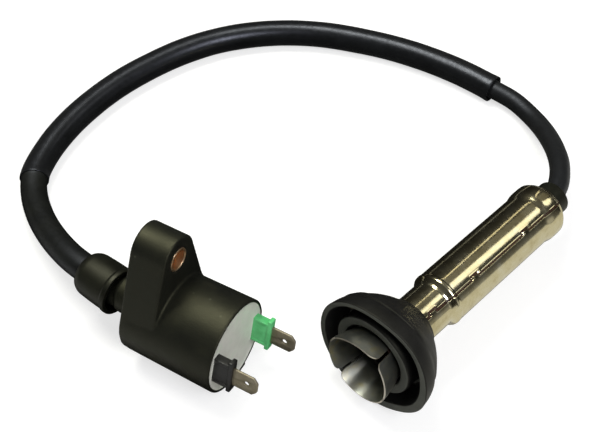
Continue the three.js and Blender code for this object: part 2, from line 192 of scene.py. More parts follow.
def joined(name, *pieces, sharp=32):
    whole = bmesh.new()
    for piece in pieces:
        whole.from_mesh(piece.data)
        bpy.data.objects.remove(piece)
    mesh = bpy.data.meshes.new(name)
    whole.to_mesh(mesh)
    whole.free()
    mesh.shade_smooth()
    mesh.set_sharp_from_angle(angle=math.radians(sharp))
    piece = bpy.data.objects.new(name, mesh)
    bpy.context.scene.collection.objects.link(piece)
    return piece


def fused(piece, voxel, passes):
    # overlapping solids made one moulding with softened edges
    remesh = piece.modifiers.new("fuse", "REMESH")
    remesh.mode = "VOXEL"
    remesh.voxel_size = voxel * mm
    smooth = piece.modifiers.new("soften", "SMOOTH")
    smooth.iterations = passes
    smooth.factor = 0.5
    return baked(piece, sharp=180)


def standsFor(piece, material, slotName, body, *nodes):
    if not piece.data.materials:
        piece.data.materials.append(material)
    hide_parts(*nodes)
    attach(piece, body)
    return piece


# ---- material helpers ----

def colour(code):
    def linear(part):
        value = int(part, 16) / 255
        return value / 12.92 if value <= 0.04045 else ((value + 0.055) / 1.055) ** 2.4
    return (*(linear(code[i:i + 2]) for i in (1, 3, 5)), 1)


def addNode(tree, kind, links=None, **settings):
    node = tree.nodes.new(kind)
    for setting, value in settings.items():
        setattr(node, setting, value)
    for socket, value in (links or {}).items():
        if isinstance(value, bpy.types.NodeSocket):
            tree.links.new(value, node.inputs[socket])
        else:
            node.inputs[socket].default_value = value
    return node


def startMaterial(name, **sockets):
    material = bpy.data.materials.new(name)
    material.use_nodes = True
    tree = material.node_tree
    shader = tree.nodes["Principled BSDF"]
    for socket, value in sockets.items():
        shader.inputs[socket.replace("_", " ")].default_value = value
    place = addNode(tree, "ShaderNodeTexCoord")
    return material, tree, shader, place


def perSize(size):
    # texture scale that gives features of this size in millimetres
    return 1 / (size * mm)


def ramp(tree, factor, stops):
    node = addNode(tree, "ShaderNodeValToRGB", {"Fac": factor})
    steps = node.color_ramp.elements
    steps[0].position, steps[0].color = stops[0][0], stops[0][1]
    steps[1].position, steps[1].color = stops[-1][0], stops[-1][1]
    for position, value in stops[1:-1]:
        steps.new(position).color = value
    return node.outputs["Color"]


def driven(tree, shader, socket, factor, stops):
    tree.links.new(ramp(tree, factor, stops), shader.inputs[socket])


def grey(value):
    return (value, value, value, 1)


def noiseAt(tree, vector, size, detail=3, roughness=0.5):
    links = {"Vector": vector, "Scale": perSize(size), "Detail": detail, "Roughness": roughness}
    return addNode(tree, "ShaderNodeTexNoise", links).outputs["Fac"]


def bumped(tree, shader, height, depth, strength):
    bump = addNode(tree, "ShaderNodeBump", {"Height": height, "Distance": depth * mm, "Strength": strength})
    tree.links.new(bump.outputs["Normal"], shader.inputs["Normal"])


# ---- materials ----

def mouldedPbt():
    # glass-filled PBT, injection moulded: near black with an olive bloom, dull, fine spark-eroded grain,
    # faint flow clouds and a few rubbed spots
    material, tree, shader, place = startMaterial("mouldedBlackPbt", IOR=1.55,
                                                  Specular_Tint=colour("#e0deb6"))
    at = place.outputs["Object"]
    clouds = noiseAt(tree, at, 9, 4, 0.6)
    grain = noiseAt(tree, at, 0.35, 2, 0.6)
    spots = addNode(tree, "ShaderNodeTexVoronoi", {"Vector": at, "Scale": perSize(5.5), "Randomness": 1.0})
    near = ramp(tree, spots.outputs["Distance"], [(0.03, grey(1)), (0.09, grey(0))])
    base = ramp(tree, clouds, [
        (0.3, colour("#0c0e0f")), (0.55, colour("#101211")), (0.75, colour("#191a15")),
    ])
    rubbed = addNode(tree, "ShaderNodeMix", {"Factor": near, "A": base, "B": colour("#33342d")},
                     data_type="RGBA")
    tree.links.new(rubbed.outputs["Result"], shader.inputs["Base Color"])
    driven(tree, shader, "Roughness", clouds, [(0.3, grey(0.46)), (0.75, grey(0.6))])
    swirl = noiseAt(tree, at, 2.6, 3, 0.6)
    skin = addNode(tree, "ShaderNodeMath", {0: swirl, 1: 2.2, 2: grain}, operation="MULTIPLY_ADD")
    bumped(tree, shader, skin.outputs["Value"], 0.035, 0.6)
    return material


def alongCap(tree, place):
    # metres along the plug cap's axis, 0 at its mouth
    dot = addNode(tree, "ShaderNodeVectorMath", {0: place.outputs["Object"], 1: tuple(capAxis)},
                  operation="DOT_PRODUCT").outputs["Value"]
    mouthAt = Vector(capJoint["pos_m"]).dot(capAxis)
    return addNode(tree, "ShaderNodeMath", {0: dot, 1: mouthAt}, operation="SUBTRACT").outputs["Value"]


def mouldedRubber(name, dark, light, dullness, sheen):
    # moulded EPDM rubber: soft dull black, cloudy in tone; the lighter copy used on the seal's front lip is
    # painted light
    material, tree, shader, place = startMaterial(name, IOR=1.5, Specular_IOR_Level=sheen,
                                                  Specular_Tint=colour("#e6e5cc"))
    at = place.outputs["Object"]
    clouds = noiseAt(tree, at, 6, 5, 0.6)
    grain = noiseAt(tree, at, 0.5, 3, 0.6)
    driven(tree, shader, "Base Color", clouds, [(0.3, colour(dark)), (0.75, colour(light))])
    driven(tree, shader, "Roughness", clouds, [(0.3, grey(dullness - 0.05)), (0.75, grey(dullness + 0.08))])
    bumped(tree, shader, grain, 0.03, 0.4)
    return material


def extrudedVinyl(name, dark, light, gloss, bloom=0.0):
    # extruded soft vinyl: smoother than the rubber, with small nicks and a faint pale bloom of plasticiser
    material, tree, shader, place = startMaterial(name, IOR=1.53, Specular_Tint=colour("#dadff0"),
                                                  Sheen_Weight=bloom, Sheen_Roughness=0.45)
    at = place.outputs["Object"]
    clouds = noiseAt(tree, at, 12, 4, 0.55)
    nicks = noiseAt(tree, at, 1.4, 2, 0.5)
    driven(tree, shader, "Base Color", clouds, [(0.3, colour(dark)), (0.7, colour(light))])
    driven(tree, shader, "Roughness", nicks, [(0.35, grey(gloss)), (0.7, grey(gloss + 0.1))])
    bumped(tree, shader, nicks, 0.04, 0.3)
    return material


def castEpoxy():
    # two-part potting resin, poured and cured: off-white, satin, faintly green in patches
    material, tree, shader, place = startMaterial("castWhiteEpoxy", IOR=1.55, Roughness=0.38)
    at = place.outputs["Object"]
    clouds = noiseAt(tree, at, 7, 4, 0.6)
    grain = noiseAt(tree, at, 1.2, 3, 0.6)
    driven(tree, shader, "Base Color", clouds, [
        (0.3, colour("#d3d3c8")), (0.55, colour("#dfdfd5")), (0.75, colour("#cfdcc6")),
    ])
    bumped(tree, shader, grain, 0.05, 0.4)
    return material


def mouldedNylon(name, dark, light, gloss):
    # injection-moulded nylon: waxy, glossy at the edges
    material, tree, shader, place = startMaterial(name, IOR=1.53)
    at = place.outputs["Object"]
    clouds = noiseAt(tree, at, 3, 3, 0.5)
    driven(tree, shader, "Base Color", clouds, [(0.3, colour(dark)), (0.7, colour(light))])
    driven(tree, shader, "Roughness", clouds, [(0.3, grey(gloss)), (0.7, grey(gloss + 0.12))])
    bumped(tree, shader, noiseAt(tree, at, 0.4, 2), 0.015, 0.4)
    return material


def rolledMetal(name, dark, light, gloss, lineAxis=0):
    # rolled strip or turned stock: fine lines along one axis, softly mottled by handling
    material, tree, shader, place = startMaterial(name, Metallic=1.0)
    at = place.outputs["Object"]
    stretch = [1.0, 1.0, 1.0]
    stretch[lineAxis] = 1 / 30
    lines = addNode(tree, "ShaderNodeMapping", {"Vector": at, "Scale": stretch}).outputs["Vector"]
    rolling = noiseAt(tree, lines, 0.25, 3, 0.6)
    mottle = noiseAt(tree, at, 3.0, 4, 0.6)
    driven(tree, shader, "Base Color", mottle, [(0.3, colour(dark)), (0.7, colour(light))])
    both = addNode(tree, "ShaderNodeMath", {0: rolling, 1: mottle}, operation="MULTIPLY").outputs["Value"]
    driven(tree, shader, "Roughness", both, [(0.1, grey(gloss)), (0.45, grey(gloss + 0.16))])
    bumped(tree, shader, rolling, 0.012, 0.35)
    return material


def brightPlating(name, throat, mouth, dulled):
    # bright zinc plating passivated yellow over drawn steel sheet: mirror-like with a champagne tint,
    # hazy in patches, with fine draw lines along the tube, and silvery where the petals were bent.
    # It has painted shade in the throat and towards the mouth, where the boot and the tube shade the metal:
    # throat and mouth say how much of the colour is left there, and dulled says how much rougher the petals
    # are than the tube
    material, tree, shader, place = startMaterial(name, Metallic=1.0)
    turn = addNode(tree, "ShaderNodeMapping", {
        "Vector": place.outputs["Object"], "Rotation": (0, 0, -math.atan2(capAxis.y, capAxis.x)),
    }).outputs["Vector"]
    drawn = addNode(tree, "ShaderNodeMapping", {"Vector": turn, "Scale": (1 / 40, 1, 1)}).outputs["Vector"]
    lines = noiseAt(tree, drawn, 0.3, 3, 0.6)
    haze = noiseAt(tree, turn, 5, 5, 0.6)
    stains = noiseAt(tree, turn, 1.6, 4, 0.65)
    tint = ramp(tree, haze, [
        (0.3, colour("#cbbf94")), (0.5, colour("#e2d8b0")), (0.72, colour("#ece6c8")),
    ])
    bent = addNode(tree, "ShaderNodeMapRange", {
        "Value": alongCap(tree, place), "From Min": -9 * mm, "From Max": -3 * mm}).outputs["Result"]
    bare = ramp(tree, haze, [
        (0.3, colour("#8d9190")), (0.55, colour("#a2a298")), (0.7, colour("#aaa383")),
    ])
    worn = addNode(tree, "ShaderNodeMix", {"Factor": bent, "A": tint, "B": bare}, data_type="RGBA")
    # painted shade: the colour is darkened in the throat and towards the mouth, where the boot and the tube
    # shade the metal
    throatShade = ramp(tree, addNode(tree, "ShaderNodeMapRange", {
        "Value": alongCap(tree, place), "From Min": -16 * mm, "From Max": 6 * mm}).outputs["Result"],
        [(0.0, grey(1)), (0.2, grey(throat)), (0.58, grey(mouth)), (0.76, grey(0.75)), (0.88, grey(1))])
    shadeDarkened = addNode(tree, "ShaderNodeMix", {"Factor": 1.0, "A": worn.outputs["Result"], "B": throatShade},
                     data_type="RGBA", blend_type="MULTIPLY")
    tree.links.new(shadeDarkened.outputs["Result"], shader.inputs["Base Color"])
    both = addNode(tree, "ShaderNodeMath", {0: stains, 1: haze}, operation="MULTIPLY").outputs["Value"]
    gloss = ramp(tree, both, [(0.12, grey(0.1)), (0.42, grey(0.2))])
    duller = addNode(tree, "ShaderNodeMath", {0: bent, 1: dulled, 2: gloss}, operation="MULTIPLY_ADD")
    tree.links.new(duller.outputs["Value"], shader.inputs["Roughness"])
    bumped(tree, shader, lines, 0.005, 0.22)
    return material


print("materials")
casePlastic = mouldedPbt()
terminalPlastic = mouldedNylon("mouldedBlackNylon", "#141413", "#1e1e1c", 0.32)
greenPlastic = mouldedNylon("mouldedGreenNylon", "#4fb96c", "#6bd287", 0.28)
glandRubber = mouldedRubber("mouldedGlandRubber", "#0d0e0b", "#171811", 0.46, 0.45)
sealRubber = mouldedRubber("mouldedSealRubber", "#0e0e0f", "#18181a", 0.5, 0.35)
# a lighter copy of the seal rubber for the lip faces that face forward: painted light where the front lamp
# falls on the lip
frontLitLipRubber = mouldedRubber("frontLitSealRubber", "#444642", "#565852", 0.6, 0.3)
leadRubber = extrudedVinyl("extrudedLeadJacket", "#0f1010", "#181919", 0.42, 0.05)
tubeRubber = extrudedVinyl("extrudedTubeRubber", "#0d0e0a", "#171812", 0.44)
sleeveVinyl = extrudedVinyl("extrudedSleeveVinyl", "#0b0c0c", "#141516", 0.28, 0.07)
epoxy = castEpoxy()
tinPlate = rolledMetal("tinPlatedBrassStrip", "#a0977f", "#bab19b", 0.5)
bronze = rolledMetal("rolledBronze", "#e2b98e", "#f8dcb8", 0.3, lineAxis=1)
plating = brightPlating("yellowPassivatedSteel", 0.5, 0.7, 0.3)
# a copy with much deeper painted shade in the throat, for the inner side of the sheet
shadedInnerPlating = brightPlating("innerShadePassivatedSteel", 0.04, 0.09, 0.2)
brass = rolledMetal("turnedBrass", "#a98545", "#c9a865", 0.25)
cutSteel = rolledMetal("shearedSteelEdge", "#c4beb0", "#dcd6c8", 0.34)
springSteel = rolledMetal("drawnSpringSteel", "#77787a", "#97989a", 0.3)
coreSteel = rolledMetal("stackedCoreSteel", "#4d4f53", "#686a6e", 0.45)
copper = rolledMetal("enamelledCopper", "#8f4a22", "#b8672f", 0.3, lineAxis=1)
bobbinNylon = mouldedNylon("mouldedNaturalNylon", "#cfc7b0", "#ddd6c3", 0.45)
phenolic = mouldedNylon("mouldedBrownPhenolic", "#2e1a12", "#452b1e", 0.35)
ceramic = mouldedNylon("firedWhiteCeramic", "#d9d3c4", "#e9e4d8", 0.4)


# ---- camera ----

def makeCamera():
    camera = bpy.data.objects.new("camera", bpy.data.cameras.new("camera"))
    camera.data.lens = 66
    camera.data.sensor_width = 36
    camera.data.clip_start = 0.01
    camera.location = (0.1282, -0.14762, 0.29243)
    camera.rotation_euler = Vector((-0.3204, 0.5572, -0.7660)).to_track_quat("-Z", "Y").to_euler()
    bpy.context.scene.collection.objects.link(camera)
    bpy.context.scene.camera = camera


makeCamera()
print("camera")


# ---- high-tension lead ----

leadSizes = {
    "radius": 3.5,
    "tube": {  # from and to are distances along the lead from its coil end
        "outer": 4.6, "wall": 0.55, "from": 9.6, "to": 73.9, "endSwell": 0.3, "swellLength": 5,
        "unevenness": 0.16, "wave": 14,
    },
    "sleeve": {
        "outer": 5.0, "wall": 0.475, "from": 71.0, "to": 284.7, "endSwell": 0.12, "swellLength": 4,
        "unevenness": 0.25, "wave": 18,
    },
}
leadRoute = [
    (-0.0203, 0, 0.0157), (-0.0278, 0.0002, 0.0157), (-0.0353, 0.0012, 0.0156), (-0.0426, 0.003, 0.0147),
    (-0.0488, 0.0054, 0.0133), (-0.0544, 0.0081, 0.0117), (-0.0603, 0.0114, 0.0099),
    (-0.066, 0.0151, 0.0082),
    (-0.0714, 0.0192, 0.0067), (-0.0762, 0.0235, 0.0056), (-0.0802, 0.0281, 0.0052),
    (-0.0829, 0.0329, 0.00515),
    (-0.086, 0.045, 0.00515), (-0.0871, 0.058, 0.00515), (-0.0863, 0.071, 0.00515),
    (-0.0838, 0.0845, 0.00515),
    (-0.0794, 0.0977, 0.00515), (-0.0734, 0.1107, 0.00515), (-0.0653, 0.1227, 0.00515),
    (-0.0552, 0.1328, 0.00515), (-0.0436, 0.1409, 0.00515), (-0.0307, 0.147, 0.00515),
    (-0.0169, 0.151, 0.00515), (-0.0027, 0.1537, 0.00515), (0.0117, 0.1547, 0.00515),
    (0.026, 0.1541, 0.00515),
    (0.0401, 0.152, 0.005), (0.0494, 0.1502, 0.0047), (0.0586, 0.1453, 0.005), (0.0648, 0.1395, 0.0069),
    (0.07, 0.1326, 0.0097), (0.0742, 0.1256, 0.0126), (0.0776, 0.1187, 0.0151), (0.08, 0.1122, 0.0166),
    (0.0813, 0.1066, 0.0173), (0.08145, 0.1016, 0.0176), (0.0807, 0.0968, 0.0178),
    (0.0795, 0.0922, 0.01795),
    (0.0784, 0.0878, 0.0181),
]


def smoothRoute(route, perSpan=12):
    # centripetal Catmull-Rom curve through the points
    points = [Vector(point) for point in route]
    points = [2 * points[0] - points[1], *points, 2 * points[-1] - points[-2]]
    line = []
    for p0, p1, p2, p3 in zip(points, points[1:], points[2:], points[3:]):
        t0 = 0
        t1 = t0 + (p1 - p0).length ** 0.5
        t2 = t1 + (p2 - p1).length ** 0.5
        t3 = t2 + (p3 - p2).length ** 0.5
        for step in range(perSpan):
            t = t1 + (t2 - t1) * step / perSpan
            a1 = p0 * ((t1 - t) / (t1 - t0)) + p1 * ((t - t0) / (t1 - t0))
            a2 = p1 * ((t2 - t) / (t2 - t1)) + p2 * ((t - t1) / (t2 - t1))
            a3 = p2 * ((t3 - t) / (t3 - t2)) + p3 * ((t - t2) / (t3 - t2))
            b1 = a1 * ((t2 - t) / (t2 - t0)) + a2 * ((t - t0) / (t2 - t0))
            b2 = a2 * ((t3 - t) / (t3 - t1)) + a3 * ((t - t1) / (t3 - t1))
            line.append(b1 * ((t2 - t) / (t2 - t1)) + b2 * ((t - t1) / (t2 - t1)))
    return [*line, points[-2]]


def lineLength(line):
    return sum((b - a).length for a, b in zip(line, line[1:]))


def stretchOf(line, start, end):
    # the part of the line between two distances from its first point
    kept, gone = [], 0
    for a, b in zip(line, line[1:]):
        span = (b - a).length
        for mark in (start, end):
            if gone <= mark < gone + span:
                kept.append(a.lerp(b, (mark - gone) / span))
        if start < gone + span < end:
            kept.append(b)
        gone += span
    return kept


def curvePiece(name, line, radius=0):
    curve = bpy.data.curves.new(name, "CURVE")
    curve.dimensions = "3D"
    spline = curve.splines.new("POLY")
    spline.points.add(len(line) - 1)
    for point, place in zip(spline.points, line):
        point.co = (*place, 1)
    curve.bevel_depth = radius
    curve.bevel_resolution = 8
    curve.use_fill_caps = radius > 0
    piece = bpy.data.objects.new(name, curve)
    bpy.context.scene.collection.objects.link(piece)
    return piece


def tubeTree(material):
    # Geometry Nodes: a hose swept along a curve, with swollen cut ends and a slightly uneven skin
    tree = bpy.data.node_groups.new("hoseAlongCurve", "GeometryNodeTree")

    def calculated(kind, first, second):
        return addNode(tree, "ShaderNodeMath", {0: first, 1: second}, operation=kind).outputs["Value"]

    face = tree.interface
    face.new_socket("Geometry", in_out="INPUT", socket_type="NodeSocketGeometry")
    for label in ("Outer Radius", "End Swell", "Swell Length", "Unevenness", "Wave"):
        face.new_socket(label, in_out="INPUT", socket_type="NodeSocketFloat")
    face.new_socket("Geometry", in_out="OUTPUT", socket_type="NodeSocketGeometry")
    given = addNode(tree, "NodeGroupInput").outputs
    resampled = addNode(tree, "GeometryNodeResampleCurve", {"Curve": given["Geometry"], "Count": 260})
    along = addNode(tree, "GeometryNodeSplineParameter").outputs["Length"]
    length = addNode(tree, "GeometryNodeSplineLength").outputs["Length"]
    left = calculated("SUBTRACT", length, along)
    nearest = calculated("MINIMUM", along, left)
    swell = addNode(tree, "ShaderNodeMapRange", {
        "Value": nearest, "From Min": 0.0, "From Max": given["Swell Length"],
        "To Min": given["End Swell"], "To Max": 0.0,
    }, interpolation_type="SMOOTHERSTEP").outputs["Result"]
    spot = addNode(tree, "GeometryNodeInputPosition").outputs["Position"]
    wave = addNode(tree, "ShaderNodeTexNoise", {"Vector": spot, "Scale": given["Wave"], "Detail": 2.0})
    centred = calculated("SUBTRACT", wave.outputs["Fac"], 0.5)
    uneven = calculated("MULTIPLY", centred, given["Unevenness"])
    radius = calculated("ADD", calculated("ADD", given["Outer Radius"], swell), uneven)
    section = addNode(tree, "GeometryNodeCurvePrimitiveCircle", {"Resolution": 40, "Radius": 1.0})
    sized = addNode(tree, "GeometryNodeSetCurveRadius", {
        "Curve": resampled.outputs["Curve"], "Radius": radius,
    })
    swept = addNode(tree, "GeometryNodeCurveToMesh", {
        "Curve": sized.outputs["Curve"], "Profile Curve": section.outputs["Curve"],
    })
    if "Scale" in swept.inputs:
        tree.links.new(radius, swept.inputs["Scale"])
    real = addNode(tree, "GeometryNodeRealizeInstances", {"Geometry": swept.outputs["Mesh"]})
    coated = addNode(tree, "GeometryNodeSetMaterial", {
        "Geometry": real.outputs["Geometry"], "Material": material,
    })
    addNode(tree, "NodeGroupOutput", {"Geometry": coated.outputs["Geometry"]})
    return tree


def hose(name, line, sizes, material):
    guide = curvePiece(name + "Guide", stretchOf(line, sizes["from"] * mm, sizes["to"] * mm))
    modifier = guide.modifiers.new("hose", "NODES")
    modifier.node_group = tubeTree(material)
    values = {
        "Outer Radius": sizes["outer"] * mm, "End Swell": sizes["endSwell"] * mm,
        "Swell Length": sizes["swellLength"] * mm, "Unevenness": sizes["unevenness"] * mm,
        "Wave": perSize(sizes["wave"]),
    }
    for item in modifier.node_group.interface.items_tree:
        if item.in_out == "INPUT" and item.name in values:
            modifier[item.identifier] = values[item.name]
    mesh = bpy.data.meshes.new_from_object(guide.evaluated_get(bpy.context.evaluated_depsgraph_get()))
    bpy.data.objects.remove(guide)
    piece = finishedMesh(name, mesh, 40)
    skin = piece.modifiers.new("wall", "SOLIDIFY")
    skin.thickness = sizes["wall"] * mm
    skin.offset = -1
    piece = baked(piece, 40)
    return bevelled(piece, 0.12, 2, 60)


def makeLead():
    line = smoothRoute(leadRoute)
    cord = curvePiece("htLead", line, leadSizes["radius"] * mm)
    cord.data.materials.append(leadRubber)
    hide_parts("ht_lead")
    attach(cord, "root")
    lower = hose("lowerLeadTube", line, leadSizes["tube"], tubeRubber)
    upper = hose("leadSleeve", line, leadSizes["sleeve"], sleeveVinyl)
    standsFor(lower, tubeRubber, "black_rubber", "root", "lower_lead_tube")
    standsFor(upper, sleeveVinyl, "black_vinyl", "root", "lead_sleeve")
    return cord, lineLength(line), [lower, upper]


cord, cordLength, hoses = makeLead()
print("lead", round(cordLength, 4))


# ---- coil case ----

coilCase = {
    "rimRadius": 15.3, "backRadius": 14.85, "length": 32.3, "wall": 1.0, "floor": 2.0, "backEdge": 2.2,
    "earRadius": 7.7, "earThickness": 12.0, "boltHole": 3.85, "voxel": 0.36, "passes": 5,
    "lugWidth": 9.0, "lugLength": 7.5, "neck": 6.3, "neckLength": 8.2, "spigot": 5.6, "spigotLength": 8.8,
    "leadBore": 3.95, "dropRadius": 14.75,
}


def earOutline():
    # teardrop that runs down its tangents on to the case; first value across, second up to the bolt
    drop, top = coilCase["dropRadius"], coilCase["earRadius"]
    lean = math.asin((drop - top) / earHeight)
    outline = []
    for start, end, radius, height, steps in (
        (math.pi - lean, 2 * math.pi + lean, drop, 0, 72), (lean, math.pi - lean, top, earHeight, 40),
    ):
        for step in range(steps + 1):
            angle = start + (end - start) * step / steps
            outline.append((radius * math.cos(angle), height + radius * math.sin(angle)))
    return outline


def makeCase():
    c = coilCase
    back = -c["length"]
    inner = c["rimRadius"] - c["wall"]
    cup = turned("cup", [
        (back, 0), (back, c["backRadius"], c["backEdge"]), (0, c["rimRadius"], 0.25), (0, inner, 0.25),
        (back + c["floor"], inner - 0.5, 1.0), (back + c["floor"], 0),
    ], coilPlace, around=160)
    hollow = circle(inner - 0.7, around=72)
    ear = plate("ear", [earOutline(), hollow, circle(c["boltHole"], (0, earHeight), 48)],
                back, back + c["earThickness"], coilPlace)
    lug = blockPiece("restLug", (-c["lugLength"], -c["lugWidth"] / 2, -axisZ),
                     (0, c["lugWidth"] / 2, -c["rimRadius"] + 0.9),
                     coilPlace @ Matrix.Rotation(-coilRoll, 4, "X"), 0.5)
    neckEnd = back - c["neckLength"]
    towerEnd = neckEnd - c["spigotLength"]
    outlet = turned("outlet", [
        (back + 1.2, c["leadBore"]), (back + 1.2, c["neck"] + 0.6), (back, c["neck"] + 0.6, 0.6),
        (neckEnd, c["neck"], 0.5), (neckEnd, c["spigot"]), (towerEnd, c["spigot"], 0.6),
        (towerEnd, c["leadBore"]),
    ], coilPlace, closed=True, around=96)
    moulding = fused(joined("moulding", cup, ear, outlet), c["voxel"], c["passes"])
    body = joined("coilCase", moulding, lug, sharp=180)
    return standsFor(body, casePlastic, "black_plastic", "root", "coil_case")


def makeBush():
    back = -coilCase["length"]
    front = back + coilCase["earThickness"]
    bush = turned("mountingBush", [
        (back, 3.2, 0.3), (back, 3.83, 0.2), (front + 0.05, 3.83, 0.2), (front + 0.05, 3.2, 0.3),
    ], coilPlace @ Matrix.Translation((0, 0, earHeight)), closed=True, around=96)
    return standsFor(bush, bronze, "bronze", "root", "mounting_bush")


makeCase()
makeBush()
print("case")


# ---- potting and terminals ----

terminal = {
    "offset": 11.1, "width": 8.4, "thickness": 2.6, "front": 4.6, "lipWidth": 11.2, "lipThickness": 3.0,
    "lipLength": 1.4, "depth": 4.1,
}
blade = {
    "width": 6.3, "thickness": 0.8, "tip": 14.2, "inner": 4.6, "chamfer": 1.3, "hole": 0.8, "holeBack": 3.6,
}
resin = {"level": -0.55, "climb": 0.4, "reach": 1.1, "thickness": 3.6, "radius": 14.28}


def resinHeight(y, z):
    # the poured face climbs a little where it wets the wall and the two terminal bases
    toWall = resin["radius"] - math.hypot(y, z)
    gaps = [toWall]
    for side in (-1, 1):
        across = abs(y - side * terminal["offset"]) - terminal["thickness"] / 2
        along = abs(z) - terminal["width"] / 2
        gaps.append(math.hypot(max(across, 0), max(along, 0)))
    climb = sum(math.exp(-max(gapTo, 0) / resin["reach"] * 1.8) for gapTo in gaps)
    ripple = noise.noise(Vector((y, z, 3)) * 0.22) * 0.12
    return resin["level"] + resin["climb"] * min(climb, 1.1) + ripple


def makeResin():
    around, rings = 128, 46
    points = [(resinHeight(0, 0), 0, 0)]
    for ringIndex in range(1, rings + 1):
        radius = resin["radius"] * (ringIndex / rings) ** 0.85
        for side in range(around):
            angle = 2 * math.pi * side / around
            y, z = radius * math.cos(angle), radius * math.sin(angle)
            points.append((resinHeight(y, z), y, z))
    faces = [(0, 1 + side, 1 + (side + 1) % around) for side in range(around)]
    for ringIndex in range(rings - 1):
        low, high = 1 + ringIndex * around, 1 + (ringIndex + 1) * around
        for side in range(around):
            following = (side + 1) % around
            faces.append((low + side, high + side, high + following, low + following))
    edge = 1 + (rings - 1) * around
    back = len(points)
    for side in range(around):
        x, y, z = points[edge + side]
        points.append((-resin["thickness"] - 0.5, y, z))
    for side in range(around):
        following = (side + 1) % around
        faces.append((edge + side, back + side, back + following, edge + following))
    faces.append(tuple(back + side for side in range(around)))
    disc = newPiece("potting", points, faces, terminalPlace, sharp=60)
    return standsFor(disc, epoxy, "epoxy", "root", "potting")


def makeBase(name, side, material, slotName, node):
    t = terminal
    place = terminalPlace @ Matrix.Translation((0, side * t["offset"], 0))
    half = t["thickness"] / 2
    body = blockPiece("body", (-t["depth"], -half, -t["width"] / 2),
                      (t["front"] + 0.2, half, t["width"] / 2), place, 0.25)
    lip = blockPiece("lip", (t["front"], -t["lipThickness"] / 2, -t["lipWidth"] / 2),
                     (t["front"] + t["lipLength"], t["lipThickness"] / 2, t["lipWidth"] / 2), place, 0.35)
    foot = blockPiece("foot", (-t["depth"], -half - 0.15, -t["width"] / 2 - 0.25),
                      (0.15, half + 0.15, t["width"] / 2 + 0.25), place, 0.2)
    parts = [body, lip, foot]
    for edge in (-1, 1):
        low, high = sorted((edge * (t["width"] / 2 + 0.18), edge * (t["width"] / 2 - 0.9)))
        parts.append(blockPiece("rib", (0, -half - 0.18, low), (t["front"] + 0.3, half + 0.18, high),
                                place, 0.2))
    whole = joined(name, *parts)
    return standsFor(whole, material, slotName, "root", node)


def makeBlade(name, side, node):
    b = blade
    half, chamfer = b["width"] / 2, b["chamfer"]
    tip, start = b["tip"], -b["inner"]
    outline = [
        (start, -half), (tip - chamfer - 0.2, -half), (tip - 0.25, -half + chamfer),
        (tip, -half + chamfer + 0.5), (tip, half - chamfer - 0.5), (tip - 0.25, half - chamfer),
        (tip - chamfer - 0.2, half), (start, half),
    ]
    hole = circle(b["hole"], (tip - b["holeBack"], 0), 32)
    place = terminalPlace @ Matrix.Translation((0, side * terminal["offset"], 0))
    strip = plate(name, [outline, hole], -b["thickness"] / 2, b["thickness"] / 2, place, axis="Y")
    strip = bevelled(strip, 0.16, 2, 40)
    return standsFor(strip, tinPlate, "tin_plate", "root", node)


makeResin()
makeBase("blackTerminalBase", -1, terminalPlastic, "black_plastic", "black_terminal_base")
makeBase("greenTerminalBase", 1, greenPlastic, "green_plastic", "green_terminal_base")
makeBlade("blackSideBlade", -1, "black_side_blade")
makeBlade("greenSideBlade", 1, "green_side_blade")
print("terminals")


# ---- gland cap ----

gland = {"half": 7.25, "open": 7.9, "mouth": 6.45, "leadEnd": 7.2, "bore": 7.1, "leadHole": 4.6, "web": 4.0}


def makeGland():
    g = gland
    half = g["half"]
    cap = turned("glandCap", [
        (half - 1.4, g["bore"], 0.2), (half - 1.4, g["mouth"], 0.3), (half - 0.1, g["mouth"], 0.3),
        (half, g["open"], 0.5), (half - 1.6, g["open"] + 0.02, 0.3), (half - 2.1, g["open"] - 0.28, 0.3),
        (half - 7, g["open"] - 0.3, 2), (-half + 2.4, g["leadEnd"] + 0.15, 2.2),
        (-half + 0.5, g["leadEnd"] - 0.9, 1.6), (-half, g["leadEnd"] - 2.2, 0.5),
        (-half, g["leadHole"] + 0.2, 0.2), (-half + 0.7, g["leadHole"], 0.3),
        (-half + g["web"], g["leadHole"], 0.2), (-half + g["web"], g["bore"], 0.4),
    ], glandPlace, closed=True, around=128)
    return standsFor(cap, glandRubber, "black_rubber", "root", "gland_cap")


makeGland()
print("gland")


# ---- plug cap ----

